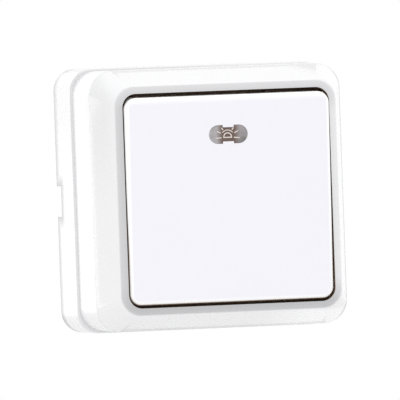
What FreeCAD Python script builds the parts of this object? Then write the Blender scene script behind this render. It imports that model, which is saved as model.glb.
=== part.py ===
import FreeCAD, Part
import math
import os
import Sketcher

# Surface mounted light switch with a see-saw contact and a lit window.
# Lengths are in millimetres and angles in degrees. The wall is the plane Y = 0 and the front faces -Y.
# X runs to the right as seen from the front, and Z runs up. A depth is a distance in front of the wall.

Vector = FreeCAD.Vector
X_AXIS = Vector(1, 0, 0)
Y_AXIS = Vector(0, 1, 0)
Z_AXIS = Vector(0, 0, 1)

doc = FreeCAD.newDocument("surface_light_switch")
dims = doc.addObject("Spreadsheet::Sheet", "dims")

# driving sizes, written into the sheet
SIZES = {
    # base box
    "base_side": 65.5,
    "base_depth": 16.0,
    "base_corner": 5.5,
    "base_wall": 2.2,
    "base_floor": 2.0,
    "base_rim": 0.5,
    "notch_height": 7.6,
    "notch_depth": 4.0,
    "notch_reach": 7.0,
    "wall_hole_across": 49.0,
    "wall_hole_up": 50.0,
    "wall_hole_radius": 2.1,
    "cable_entry_width": 18.0,
    "cable_entry_height": 7.0,
    "cable_entry_up": 25.0,
    "boss_radius": 3.2,
    "overcut": 1.0,
    # cover frame
    "cover_ledge": 0.55,
    "cover_corner": 6.0,
    "cover_wall": 2.0,
    "skirt_length": 15.3,
    "bevel_run": 3.8,
    "bevel_rise": 9.5,
    "crest_corner": 4.6,
    "crest_round": 0.6,
    "ring_width": 1.95,
    "ring_rise": 0.9,
    "opening_corner": 3.4,
    "hollow_margin": 0.7,
    "lip_length": 1.6,
    "lip_wall": 1.0,
    "lip_gap": 0.1,
    "hook_width": 9.0,
    "hook_spacing": 30.0,
    "hook_thick": 1.2,
    "hook_end": 8.0,
    "hook_catch": 0.8,
    # rocker
    "rocker_side_gap": 0.3,
    "rocker_end_gap": 0.8,
    "rocker_corner": 2.9,
    "rocker_wall": 1.6,
    "rocker_face": 1.8,
    "rocker_front": 6.8,
    "rocker_skirt": 9.8,
    "rocker_round": 1.1,
    "rocker_tilt": 2.0,
    "rib_from_ear": 2.5,
    "rib_thick": 1.2,
    "rib_height": 2.2,
    "root_depth": 0.4,
    "window_width": 9.9,
    "window_height": 4.6,
    "window_from_end": 9.75,
    "window_tab_width": 2.8,
    "window_tab_reach": 0.55,
    "lens_flange": 1.0,
    "lens_seat": 0.8,
    "lens_gap": 0.05,
    # cradle, pivot and plunger
    "pivot_sink": 5.1,
    "pivot_height": 7.0,
    "pin_radius": 1.0,
    "pin_gap": 0.05,
    "cradle_width": 22.0,
    "cradle_height": 24.0,
    "cradle_plate": 2.0,
    "cradle_corner": 1.5,
    "hub_radius": 2.8,
    "clip_from_side": 3.5,
    "clip_from_end": 3.4,
    "clip_wall": 1.2,
    "clip_width": 3.0,
    "clip_catch": 0.7,
    "clip_nose": 1.65,
    "clip_play": 0.1,
    "tube_wall": 1.3,
    "spring_seat": 2.4,
    "plunger_radius": 1.85,
    "plunger_gap": 0.05,
    "plunger_top": 8.9,
    "plunger_neck": 2.8,
    "plunger_bare": 4.8,
    "tip_radius": 1.2,
    "tip_gap": 0.06,
    "spring_inset": 0.45,
    "spring_wire": 0.22,
    "spring_play": 0.02,
    "spring_turns": 4.5,
    # mechanism body with the ears of the pivot
    "plate_margin": 2.0,
    "plate_corner": 4.0,
    "plate_thick": 2.0,
    "block_width": 48.0,
    "block_height": 38.0,
    "block_wall": 1.5,
    "block_corner": 1.5,
    "tray_start": 6.0,
    "tray_depth": 8.0,
    "tray_floor": 2.0,
    "tube_window": 12.0,
    "ear_side_gap": 1.5,
    "ear_thick": 2.0,
    "ear_width": 7.0,
    "ear_round": 3.0,
    "rest_width": 8.0,
    "rest_across": 17.0,
    "rest_margin": 0.3,
    "rest_gap": 0.03,
    # screws
    "screw_inset": 4.0,
    "screw_radius": 1.5,
    "screw_hole_gap": 0.1,
    "screw_tip_gap": 0.2,
    "screw_head_radius": 2.8,
    "screw_head": 1.8,
    "screw_slot": 0.7,
    "screw_slot_deep": 0.8,
    "screw_sink": 1.0,
    "terminal_screw_lift": 0.8,
    "terminal_screw_stop": 1.8,
    "driver_gap": 0.6,
    # contacts and terminals
    "channel_width": 13.0,
    "channel_height": 30.0,
    "fulcrum_radius": 0.5,
    "fulcrum_gap": 0.05,
    "bar_back": 0.15,
    "bar_thick": 0.8,
    "bar_width": 5.0,
    "bar_arm": 12.0,
    "bar_corner": 1.2,
    "bar_tilt": 8.0,
    "contact_arm": 10.0,
    "contact_radius": 1.6,
    "contact_head": 0.8,
    "contact_edge": 0.3,
    "contact_shank": 0.9,
    "contact_tail": 0.35,
    "contact_gap": 0.04,
    "fixed_head": 0.9,
    "stop_thick": 1.5,
    "stop_inset": 0.9,
    "stop_gap": 0.05,
    "strip_thick": 0.8,
    "strip_width": 5.6,
    "strip_past": 2.4,
    "strip_play": 0.1,
    "common_up": -1.25,
    "common_strip": 3.5,
    "clamp_inset": 7.0,
    "clamp_length": 6.0,
    "clamp_width": 8.0,
    "clamp_wall": 1.0,
    "clamp_front": 1.5,
    "clamp_corner": 0.8,
    "clamp_play": 0.2,
    "chamber_start": 8.0,
    "chamber_end_wall": 1.6,
    "chamber_height": 11.0,
    "wire_entry_radius": 1.9,
    # lamp
    "lamp_height": 6.0,
    "lamp_radius": 2.0,
    "lamp_glass": 0.35,
    "lamp_length": 12.0,
    "lamp_seal": 2.0,
    "holder_wall": 1.5,
    "holder_inside": 9.0,
    "holder_margin": 0.5,
    "holder_floor": 1.0,
    "lead_radius": 0.25,
    "lead_spacing": 1.3,
    "lead_hold": 4.0,
    "lead_bend": 1.0,
    "lead_reach": 1.5,
    "lead_gap": 2.0,
    "lead_inset": 3.0,
    "lead_spread": 2.0,
    "lead_drop": 5.0,
    "lead_step": 1.5,
    "lead_hole_gap": 0.25,
    "resistor_up": 13.0,
    "resistor_radius": 1.2,
    "resistor_length": 6.5,
    "resistor_lead_run": 2.25,
}

# sizes that follow from others, worked out by the sheet
DERIVED = {
    "cover_side": "base_side - 2 * cover_ledge",
    "crest_side": "cover_side - 2 * bevel_run",
    "opening_side": "crest_side - 2 * ring_width",
    "bevel_start": "base_depth + skirt_length",
    "crest_depth": "bevel_start + bevel_rise",
    "ring_front": "crest_depth + ring_rise",
    "lip_side": "base_side - 2 * base_wall - 2 * lip_gap",
    "lip_corner": "base_corner - base_wall - lip_gap",
    "rocker_width": "opening_side - 2 * rocker_side_gap",
    "rocker_height": "opening_side - 2 * rocker_end_gap",
    "window_up": "rocker_height / 2 - window_from_end",
    "face_back": "rocker_front - rocker_face",
    "pivot_depth": "crest_depth - pivot_sink",
    "cradle_back": "face_back - cradle_plate",
    "clip_across": "cradle_width / 2 - clip_from_side",
    "clip_up": "cradle_height / 2 - clip_from_end",
    "plate_front": "pivot_depth - pivot_height",
    "plate_start": "plate_front - plate_thick",
    "plate_side": "opening_side + 2 * plate_margin",
    "tray_end": "tray_start + tray_depth",
    "tray_inside": "tray_start + tray_floor",
    "block_depth": "plate_start - tray_end",
    "ear_inside": "cradle_width + 2 * ear_side_gap",
    "rib_across": "ear_inside / 2 + ear_thick + rib_from_ear",
    "rest_depth": (
        "pivot_depth - rocker_height / 2 * sin(rocker_tilt * 1 deg)"
        " - (rocker_skirt - rocker_front) * cos(rocker_tilt * 1 deg) - rest_gap"
    ),
    "screw_across": "block_width / 2 - screw_inset",
    "screw_up": "block_height / 2 - screw_inset",
    "strip_front": "tray_inside + strip_thick",
    "fulcrum_depth": (
        "strip_front + fixed_head + contact_gap"
        " + (contact_arm + contact_radius) * sin(bar_tilt * 1 deg)"
        " + (contact_head - bar_back) * cos(bar_tilt * 1 deg)"
    ),
    "stop_front": (
        "fulcrum_depth + bar_back * cos(bar_tilt * 1 deg)"
        " - (bar_arm - contact_edge / 2) * sin(bar_tilt * 1 deg) - stop_gap"
    ),
    "clamp_across": "block_width / 2 - clamp_inset",
    "strip_end": "clamp_across + strip_past",
    "chamber_length": "block_width / 2 - chamber_start - chamber_end_wall",
    "tip_reach": "pivot_depth - fulcrum_depth - bar_back - bar_thick - tip_radius - tip_gap",
    "plunger_shoulder": "tip_reach - plunger_neck",
    "tube_end": "tip_reach - plunger_bare",
    "tube_bore": "plunger_radius + plunger_gap",
    "tube_radius": "tube_bore + tube_wall",
    "spring_radius": "plunger_radius - spring_inset",
    "lamp_depth": "plate_front + lamp_height",
    "lamp_bore": "lamp_radius - lamp_glass",
    "lead_run": "plate_start - lead_drop",
    "lead_high": "window_up + lead_spacing / 2",
    "lead_low": "window_up - lead_spacing / 2",
    "lead_near": "lamp_length / 2 + lead_reach",
    "lead_far": "lead_near + lead_gap",
    "lead_foot": "(chamber_start + clamp_across - clamp_length / 2) / 2",
    "lead_hole_high": "block_height / 2 - lead_inset",
    "lead_hole_low": "lead_hole_high - lead_spread",
}

WORDS = list(SIZES) + list(DERIVED)
for row, word in enumerate(WORDS, start=1):
    dims.set("A%d" % row, word)
    dims.set("B%d" % row, str(SIZES[word]) if word in SIZES else "=" + DERIVED[word])
    dims.setAlias("B%d" % row, word)
doc.recompute()


def size(word):
    """Gives one size of the sheet as a number."""
    return float(dims.get(word))


def spell(expression):
    """Puts the sheet's name before each of its words in an expression."""
    words = []
    word = ""
    for letter in str(expression) + " ":
        if letter.isalnum() or letter in "_.":
            word += letter
            continue
        words.append("dims." + word if word in WORDS else word)
        words.append(letter)
        word = ""
    return "".join(words).strip()


def value_of(expression):
    """Works an expression out with the sizes of the sheet."""
    return float(dims.evalExpression(spell(expression)))


def bind(thing, field, expression):
    """Ties one field of an object to an expression of the sheet."""
    thing.setExpression(field, spell(expression))


# sketches and features


def new_body(name):
    """Starts a body that carries the name of its sub-part."""
    body = doc.addObject("PartDesign::Body", name)
    body.Label = name
    return body


def origin_feature(body, role):
    """Finds a plane or an axis of a body's own origin."""
    return next(feature for feature in body.Origin.OriginFeatures if feature.Role == role)


def new_sketch(body, name, plane="XZ_Plane", offset="0"):
    """Lays a sketch on a plane of the body. On XZ_Plane the offset counts towards the front."""
    sketch = body.newObject("Sketcher::SketchObject", name)
    sketch.AttachmentSupport = [(origin_feature(body, plane), "")]
    sketch.MapMode = "FlatFace"
    bind(sketch, "AttachmentOffset.Base.z", offset)
    return sketch


def pin_point(sketch, geometry, point, across, up):
    """Fixes a point of the sketch at two expressions, measured from the origin."""
    for kind, expression in (("DistanceX", across), ("DistanceY", up)):
        index = sketch.addConstraint(
            Sketcher.Constraint(kind, -1, 1, geometry, point, value_of(expression))
        )
        bind(sketch, "Constraints[%d]" % index, expression)


def set_radius(sketch, geometry, expression):
    """Ties the radius of a circle or an arc to an expression."""
    index = sketch.addConstraint(Sketcher.Constraint("Radius", geometry, value_of(expression)))
    bind(sketch, "Constraints[%d]" % index, expression)


def draw_polygon(sketch, corners):
    """Draws a closed outline whose corners are pairs of expressions."""
    points = [Vector(value_of(across), value_of(up), 0) for across, up in corners]
    first = sketch.GeometryCount
    count = len(points)
    for number in range(count):
        sketch.addGeometry(Part.LineSegment(points[number], points[(number + 1) % count]), False)
    for number in range(count):
        after = first + (number + 1) % count
        sketch.addConstraint(Sketcher.Constraint("Coincident", first + number, 2, after, 1))
    for number, (across, up) in enumerate(corners):
        pin_point(sketch, first + number, 1, across, up)


def draw_rectangle(sketch, width, height, across="0", up="0"):
    """Draws a rectangle around a centre."""
    left = "(%s) - (%s) / 2" % (across, width)
    right = "(%s) + (%s) / 2" % (across, width)
    low = "(%s) - (%s) / 2" % (up, height)
    high = "(%s) + (%s) / 2" % (up, height)
    draw_polygon(sketch, [(left, low), (right, low), (right, high), (left, high)])


def draw_circle(sketch, radius, across="0", up="0"):
    """Draws a circle around a centre."""
    centre = Vector(value_of(across), value_of(up), 0)
    number = sketch.addGeometry(Part.Circle(centre, Z_AXIS, value_of(radius)), False)
    pin_point(sketch, number, 3, across, up)
    set_radius(sketch, number, radius)


def draw_rounded(sketch, width, height, corner, across="0", up="0"):
    """Draws a rectangle with four equal round corners: straight, corner, straight and so on."""
    half_width = value_of(width) / 2
    half_height = value_of(height) / 2
    radius = value_of(corner)
    middle = Vector(value_of(across), value_of(up), 0)
    first = sketch.GeometryCount
    for quarter in range(4):
        # a quarter turn of the outline starts at the lower end of the right-hand side
        if quarter % 2 == 0:
            reach, span = half_width, half_height
        else:
            reach, span = half_height, half_width
        turn = FreeCAD.Rotation(Z_AXIS, 90 * quarter)
        start = middle + turn.multVec(Vector(reach, radius - span, 0))
        end = middle + turn.multVec(Vector(reach, span - radius, 0))
        centre = middle + turn.multVec(Vector(reach - radius, span - radius, 0))
        angle = math.radians(90 * quarter)
        sketch.addGeometry(Part.LineSegment(start, end), False)
        circle = Part.Circle(centre, Z_AXIS, radius)
        sketch.addGeometry(Part.ArcOfCircle(circle, angle, angle + math.pi / 2), False)
    for quarter in range(4):
        side = first + 2 * quarter
        arc = side + 1
        after = first + (2 * quarter + 2) % 8
        sketch.addConstraint(Sketcher.Constraint("Tangent", side, 2, arc, 1))
        sketch.addConstraint(Sketcher.Constraint("Tangent", arc, 2, after, 1))
        sketch.addConstraint(Sketcher.Constraint("Vertical" if quarter % 2 == 0 else "Horizontal", side))
        if quarter:
            sketch.addConstraint(Sketcher.Constraint("Equal", first + 1, arc))
    set_radius(sketch, first + 1, corner)
    sides = (
        ("DistanceX", first, "(%s) + (%s) / 2" % (across, width)),
        ("DistanceY", first + 2, "(%s) + (%s) / 2" % (up, height)),
        ("DistanceX", first + 4, "(%s) - (%s) / 2" % (across, width)),
        ("DistanceY", first + 6, "(%s) - (%s) / 2" % (up, height)),
    )
    for kind, side, expression in sides:
        index = sketch.addConstraint(Sketcher.Constraint(kind, -1, 1, side, 1, value_of(expression)))
        bind(sketch, "Constraints[%d]" % index, expression)


def draw_stadium(sketch, width, height, across="0", up="0"):
    """Draws a slot with round ends, its length along the first axis of the sketch."""
    half_height = value_of(height) / 2
    half_straight = value_of(width) / 2 - half_height
    middle = Vector(value_of(across), value_of(up), 0)
    right = middle + Vector(half_straight, 0, 0)
    left = middle - Vector(half_straight, 0, 0)
    rise = Vector(0, half_height, 0)
    first = sketch.GeometryCount
    sketch.addGeometry(Part.LineSegment(left - rise, right - rise), False)
    right_end = Part.Circle(right, Z_AXIS, half_height)
    sketch.addGeometry(Part.ArcOfCircle(right_end, -math.pi / 2, math.pi / 2), False)
    sketch.addGeometry(Part.LineSegment(right + rise, left + rise), False)
    left_end = Part.Circle(left, Z_AXIS, half_height)
    sketch.addGeometry(Part.ArcOfCircle(left_end, math.pi / 2, 3 * math.pi / 2), False)
    for number in range(4):
        sketch.addConstraint(
            Sketcher.Constraint("Tangent", first + number, 2, first + (number + 1) % 4, 1)
        )
    sketch.addConstraint(Sketcher.Constraint("Equal", first + 1, first + 3))
    set_radius(sketch, first + 1, "(%s) / 2" % height)
    straight = "((%s) - (%s)) / 2" % (width, height)
    pin_point(sketch, first + 1, 3, "(%s) + %s" % (across, straight), up)
    pin_point(sketch, first + 3, 3, "(%s) - %s" % (across, straight), up)


def pad(body, sketch, name, length, backwards=False, midplane=False):
    """Adds material from a sketch along the sketch's own normal."""
    feature = body.newObject("PartDesign::Pad", name)
    feature.Profile = sketch
    bind(feature, "Length", length)
    feature.Reversed = backwards
    feature.Midplane = midplane
    sketch.Visibility = False
    return feature


def pocket(body, sketch, name, length, forwards=False, midplane=False):
    """Cuts from a sketch against the sketch's own normal, or along it."""
    feature = body.newObject("PartDesign::Pocket", name)
    feature.Profile = sketch
    bind(feature, "Length", length)
    feature.Reversed = forwards
    feature.Midplane = midplane
    sketch.Visibility = False
    return feature


def loft(body, kind, name, sections):
    """Adds or cuts a ruled loft through sketches."""
    feature = body.newObject(kind, name)
    feature.Profile = sections[0]
    feature.Sections = sections[1:]
    feature.Ruled = True
    for section in sections:
        section.Visibility = False
    return feature


def revolve(body, sketch, name, axis):
    """Turns a half outline about one axis of its sketch."""
    feature = body.newObject("PartDesign::Revolution", name)
    feature.Profile = sketch
    feature.ReferenceAxis = (sketch, [axis])
    feature.Angle = 360
    sketch.Visibility = False
    return feature


def edges_where(shape, test):
    """Lists the names of the edges that pass a test."""
    return ["Edge%d" % number for number, edge in enumerate(shape.Edges, start=1) if test(edge)]


def round_edges(body, base, name, radius, test):
    """Rounds the edges of a feature that pass a test."""
    doc.recompute()
    feature = body.newObject("PartDesign::Fillet", name)
    feature.Base = (base, edges_where(base.Shape, test))
    bind(feature, "Radius", radius)
    return feature


def lies_at_depth(edge, depth):
    """Tells whether an edge lies in a plane at one depth."""
    box = edge.BoundBox
    return abs(box.YMin + depth) < 1e-4 and abs(box.YMax + depth) < 1e-4


def comes_near(edge, reach):
    """Tells whether an edge comes as far out as a reach, to either side or up or down."""
    box = edge.BoundBox
    return max(-box.XMin, box.XMax, -box.ZMin, box.ZMax) > reach


# base box and cover frame


def make_base_box():
    """Open box on the wall, with the floor, four bosses, cable notches and the catches of the cover."""
    body = new_body("base_box")
    inside = "base_side - 2 * base_wall"
    sketch = new_sketch(body, "base_outline")
    draw_rounded(sketch, "base_side", "base_side", "base_corner")
    pad(body, sketch, "base_block", "base_depth")
    sketch = new_sketch(body, "base_hollow_outline", offset="base_depth")
    draw_rounded(sketch, inside, inside, "base_corner - base_wall")
    pocket(body, sketch, "base_hollow", "base_depth - base_floor")
    sketch = new_sketch(body, "boss_outlines", offset="base_floor")
    for across in ("-screw_across", "screw_across"):
        for up in ("-screw_up", "screw_up"):
            draw_circle(sketch, "boss_radius", across, up)
    pad(body, sketch, "bosses", "tray_start - base_floor")
    sketch = new_sketch(body, "boss_bore_outlines", offset="tray_start")
    draw_circle(sketch, "screw_radius", "-screw_across", "screw_up")
    draw_circle(sketch, "screw_radius", "screw_across", "-screw_up")
    pocket(body, sketch, "boss_bores", "tray_start - base_floor / 2")
    sketch = new_sketch(body, "notch_outlines", offset="notch_depth")
    for side in ("-", ""):
        middle = "%s(base_side / 2 - notch_reach / 2 + overcut / 2)" % side
        draw_rectangle(sketch, "notch_reach + overcut", "notch_height", middle)
    pocket(body, sketch, "cable_notches", "notch_depth")
    sketch = new_sketch(body, "floor_hole_outlines", offset="base_floor")
    for across in ("-wall_hole_across / 2", "wall_hole_across / 2"):
        for up in ("-wall_hole_up / 2", "wall_hole_up / 2"):
            draw_circle(sketch, "wall_hole_radius", across, up)
    draw_stadium(sketch, "cable_entry_width", "cable_entry_height", "0", "cable_entry_up")
    pocket(body, sketch, "floor_holes", "base_floor")
    sketch = new_sketch(body, "catch_outlines", offset="hook_end + 1.5 * hook_catch + lip_gap")
    for up in ("-(base_side / 2 - base_wall)", "base_side / 2 - base_wall"):
        for across in ("-hook_spacing / 2", "hook_spacing / 2"):
            draw_rectangle(sketch, "hook_width + 2 * lip_gap", "2 * hook_catch + 2 * lip_gap", across, up)
    pocket(body, sketch, "catches", "1.5 * hook_catch + 4 * lip_gap")
    reach = size("base_side") / 2 - size("base_wall") / 2
    round_edges(
        body, body.Tip, "base_rim_round", "base_rim",
        lambda edge: lies_at_depth(edge, size("base_depth")) and comes_near(edge, reach),
    )
    return body


def make_cover_frame():
    """Cover with a straight skirt, a steep bevel, a ring that rises to the opening, and four hooks."""
    body = new_body("cover_frame")
    inside = "cover_side - 2 * cover_wall"
    sketch = new_sketch(body, "skirt_outline", offset="base_depth")
    draw_rounded(sketch, "cover_side", "cover_side", "cover_corner")
    pad(body, sketch, "skirt", "bevel_start - base_depth")
    foot = new_sketch(body, "bevel_foot", offset="bevel_start")
    draw_rounded(foot, "cover_side", "cover_side", "cover_corner")
    head = new_sketch(body, "bevel_head", offset="crest_depth")
    draw_rounded(head, "crest_side", "crest_side", "crest_corner")
    loft(body, "PartDesign::AdditiveLoft", "bevel", [foot, head])
    foot = new_sketch(body, "ring_foot", offset="crest_depth")
    draw_rounded(foot, "crest_side", "crest_side", "crest_corner")
    head = new_sketch(body, "ring_head", offset="ring_front")
    draw_rounded(head, "opening_side", "opening_side", "opening_corner")
    loft(body, "PartDesign::AdditiveLoft", "ring", [foot, head])
    round_edges(
        body, body.Tip, "crest_rounding", "crest_round",
        lambda edge: lies_at_depth(edge, size("crest_depth")),
    )
    sketch = new_sketch(body, "skirt_hollow_outline", offset="bevel_start")
    draw_rounded(sketch, inside, inside, "cover_corner - cover_wall")
    pocket(body, sketch, "skirt_hollow", "bevel_start - base_depth")
    foot = new_sketch(body, "bevel_hollow_foot", offset="bevel_start")
    draw_rounded(foot, inside, inside, "cover_corner - cover_wall")
    head = new_sketch(body, "bevel_hollow_head", offset="crest_depth - cover_wall")
    hollow = "opening_side + 2 * hollow_margin"
    draw_rounded(head, hollow, hollow, "opening_corner")
    loft(body, "PartDesign::SubtractiveLoft", "bevel_hollow", [foot, head])
    sketch = new_sketch(body, "opening_outline", offset="ring_front")
    draw_rounded(sketch, "opening_side", "opening_side", "opening_corner")
    pocket(body, sketch, "opening", "ring_rise + 2 * cover_wall")
    lip_inside = "lip_side - 2 * lip_wall"
    sketch = new_sketch(body, "lip_outline", offset="base_depth")
    draw_rounded(sketch, "lip_side", "lip_side", "lip_corner")
    draw_rounded(sketch, lip_inside, lip_inside, "lip_corner - lip_wall")
    pad(body, sketch, "lip", "lip_length", backwards=True)
    for side in ("", "-"):
        for across in ("-hook_spacing / 2", "hook_spacing / 2"):
            add_hook(body, side, across)
    return body


def add_hook(body, side, across):
    """Adds one hook of the cover, which snaps into a catch of the base box."""
    name = "hook_%s_%s" % ("lower" if side else "upper", "left" if across[0] == "-" else "right")
    outer = "%s(lip_side / 2)" % side
    inner = "%s(lip_side / 2 - hook_thick)" % side
    nose = "%s(lip_side / 2 + hook_catch)" % side
    root = "-base_depth - overcut"
    sketch = new_sketch(body, name + "_outline", "YZ_Plane", "%s - hook_width / 2" % across)
    draw_polygon(sketch, [
        (root, inner),
        ("-hook_end", inner),
        ("-hook_end", outer),
        ("-hook_end - 0.5 * hook_catch", nose),
        ("-hook_end - 1.5 * hook_catch", nose),
        ("-hook_end - 1.5 * hook_catch", outer),
        (root, outer),
    ])
    pad(body, sketch, name, "hook_width")


# rocker assembly, drawn around its pivot and then tilted


def tilt_rocker_part(body):
    """Sets a part of the rocker on the pivot, with its upper half proud."""
    body.Placement = FreeCAD.Placement(Vector(0, 0, 0), FreeCAD.Rotation(X_AXIS, 1))
    bind(body, "Placement.Base.y", "-pivot_depth")
    bind(body, "Placement.Rotation.Angle", "rocker_tilt")


def make_rocker_cap():
    """Rocker plate with its skirt, the window, the seat of the lens, ribs and four clips."""
    body = new_body("rocker_cap")
    sketch = new_sketch(body, "cap_outline", offset="rocker_front - rocker_skirt")
    draw_rounded(sketch, "rocker_width", "rocker_height", "rocker_corner")
    pad(body, sketch, "cap_block", "rocker_skirt")
    round_edges(
        body, body.Tip, "cap_rounding", "rocker_round",
        lambda edge: lies_at_depth(edge, size("rocker_front")),
    )
    sketch = new_sketch(body, "cap_hollow_outline", offset="face_back")
    draw_rounded(
        sketch, "rocker_width - 2 * rocker_wall", "rocker_height - 2 * rocker_wall",
        "rocker_corner - rocker_wall",
    )
    pocket(body, sketch, "cap_hollow", "rocker_skirt")
    sketch = new_sketch(body, "window_outline", offset="rocker_front")
    draw_stadium(sketch, "window_width", "window_height", "0", "window_up")
    pocket(body, sketch, "window", "rocker_face")
    sketch = new_sketch(body, "window_tab_outlines", offset="face_back")
    for side in ("+", "-"):
        middle = "window_up %s (window_height + root_depth - window_tab_reach) / 2" % side
        draw_rectangle(sketch, "window_tab_width", "window_tab_reach + root_depth", "0", middle)
    pad(body, sketch, "window_tabs", "rocker_face")
    seat_width = "window_width + 2 * lens_flange"
    seat_height = "window_height + 2 * lens_flange"
    sketch = new_sketch(body, "lens_seat_outline", offset="face_back + lens_seat")
    draw_stadium(sketch, seat_width, seat_height, "0", "window_up")
    pocket(body, sketch, "lens_seat_recess", "lens_seat")
    sketch = new_sketch(body, "rib_outlines", offset="face_back - rib_height")
    for across in ("-rib_across", "rib_across"):
        draw_rectangle(sketch, "rib_thick", "rocker_height - 2 * rocker_wall + root_depth", across)
    pad(body, sketch, "ribs", "rib_height + root_depth")
    for side in ("", "-"):
        for across in ("-clip_across", "clip_across"):
            add_clip(body, side, across)
    tilt_rocker_part(body)
    return body


def add_clip(body, side, across):
    """Adds one clip of the rocker, which reaches through the cradle's plate and catches behind it."""
    name = "clip_%s_%s" % ("lower" if side else "upper", "left" if across[0] == "-" else "right")
    inner = "%sclip_up" % side
    outer = "%s(clip_up + clip_wall)" % side
    nose = "%s(clip_up + clip_wall + clip_catch)" % side
    root = "-face_back - root_depth"
    catch = "-cradle_back + lens_gap"
    sketch = new_sketch(body, name + "_outline", "YZ_Plane", "%s - clip_width / 2" % across)
    draw_polygon(sketch, [
        (root, inner),
        ("%s + clip_nose" % catch, inner),
        ("%s + clip_nose" % catch, outer),
        ("%s + clip_nose / 3" % catch, nose),
        (catch, nose),
        (catch, outer),
        (root, outer),
    ])
    pad(body, sketch, name, "clip_width")


def make_indicator_lens():
    """Clear lens with a flange that seats behind the face, notched for the window's tabs."""
    body = new_body("indicator_lens")
    sketch = new_sketch(body, "flange_outline", offset="face_back")
    grow = "2 * lens_flange - 2 * lens_gap"
    draw_stadium(sketch, "window_width + %s" % grow, "window_height + %s" % grow, "0", "window_up")
    pad(body, sketch, "flange", "lens_seat")
    sketch = new_sketch(body, "lens_outline", offset="face_back + lens_seat")
    draw_stadium(sketch, "window_width - 2 * lens_gap", "window_height - 2 * lens_gap", "0", "window_up")
    pad(body, sketch, "lens_plate", "rocker_face - lens_seat - lens_gap")
    sketch = new_sketch(body, "tab_notch_outlines", offset="rocker_front")
    for side in ("+", "-"):
        middle = "window_up %s (window_height + overcut - window_tab_reach - lens_gap) / 2" % side
        draw_rectangle(
            sketch, "window_tab_width + 2 * lens_gap", "window_tab_reach + lens_gap + overcut", "0", middle
        )
    pocket(body, sketch, "tab_notches", "rocker_face - lens_seat")
    tilt_rocker_part(body)
    return body


def make_rocker_cradle():
    """Carrier under the rocker: a plate with four slots, the hub on the pin and the plunger's tube."""
    body = new_body("rocker_cradle")
    sketch = new_sketch(body, "cradle_plate_outline", offset="cradle_back")
    draw_rounded(sketch, "cradle_width", "cradle_height", "cradle_corner")
    pad(body, sketch, "cradle_plate_block", "cradle_plate")
    sketch = new_sketch(body, "hub_outline", "YZ_Plane")
    draw_circle(sketch, "hub_radius")
    pad(body, sketch, "hub", "cradle_width", midplane=True)
    sketch = new_sketch(body, "web_outline", "YZ_Plane")
    draw_rectangle(sketch, "cradle_back + root_depth", "2 * hub_radius", "-(cradle_back + root_depth) / 2")
    pad(body, sketch, "web", "cradle_width", midplane=True)
    sketch = new_sketch(body, "tube_outline", offset="-tube_end")
    draw_circle(sketch, "tube_radius")
    pad(body, sketch, "tube", "tube_end")
    sketch = new_sketch(body, "tube_bore_outline", offset="-spring_seat")
    draw_circle(sketch, "tube_bore")
    pocket(body, sketch, "tube_bore_cut", "tube_end")
    sketch = new_sketch(body, "pin_bore_outline", "YZ_Plane")
    draw_circle(sketch, "pin_radius + pin_gap")
    pocket(body, sketch, "pin_bore", "cradle_width + overcut", midplane=True)
    sketch = new_sketch(body, "clip_slot_outlines", offset="face_back")
    slot_width = "clip_width + 2 * clip_play"
    slot_height = "clip_wall + clip_catch + clip_play"
    for side in ("", "-"):
        middle = "%s(clip_up + (clip_wall + clip_catch) / 2)" % side
        for across in ("-clip_across", "clip_across"):
            draw_rectangle(sketch, slot_width, slot_height, across, middle)
    pocket(body, sketch, "clip_slots", "cradle_plate")
    tilt_rocker_part(body)
    return body


def make_pivot_pin():
    """Steel pin of the rocker, seated in both ears."""
    pin = doc.addObject("Part::Cylinder", "pivot_pin")
    pin.Label = "pivot_pin"
    bind(pin, "Radius", "pin_radius")
    bind(pin, "Height", "ear_inside + 2 * ear_thick")
    pin.Placement = FreeCAD.Placement(Vector(0, 0, 0), FreeCAD.Rotation(Y_AXIS, 90))
    bind(pin, "Placement.Base.x", "-ear_inside / 2 - ear_thick")
    bind(pin, "Placement.Base.y", "-pivot_depth")
    return pin


def make_plunger():
    """Turned plunger with a round tip that presses on the contact bar."""
    body = new_body("plunger")
    sketch = new_sketch(body, "plunger_outline", "XY_Plane")
    tip_middle = Vector(0, size("tip_reach"), 0)
    tip = size("tip_radius")
    radius = size("plunger_radius")
    corners = [
        Vector(0, size("plunger_top"), 0),
        Vector(radius, size("plunger_top"), 0),
        Vector(radius, size("plunger_shoulder"), 0),
        tip_middle + Vector(tip, 0, 0),
    ]
    for start, end in zip(corners, corners[1:]):
        sketch.addGeometry(Part.LineSegment(start, end), False)
    sketch.addGeometry(Part.ArcOfCircle(Part.Circle(tip_middle, Z_AXIS, tip), 0, math.pi / 2), False)
    sketch.addGeometry(Part.LineSegment(tip_middle + Vector(0, tip, 0), corners[0]), False)
    for before in range(5):
        after = (before + 1) % 5
        sketch.addConstraint(Sketcher.Constraint("Coincident", before, 2, after, 1))
    pin_point(sketch, 0, 1, "0", "plunger_top")
    pin_point(sketch, 1, 1, "plunger_radius", "plunger_top")
    pin_point(sketch, 2, 1, "plunger_radius", "plunger_shoulder")
    pin_point(sketch, 3, 3, "0", "tip_reach")
    set_radius(sketch, 3, "tip_radius")
    sketch.addConstraint(Sketcher.Constraint("Vertical", 4))
    sketch.addConstraint(Sketcher.Constraint("Horizontal", 3, 3, 3, 1))
    revolve(body, sketch, "plunger_turned", "V_Axis")
    tilt_rocker_part(body)
    return body


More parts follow.
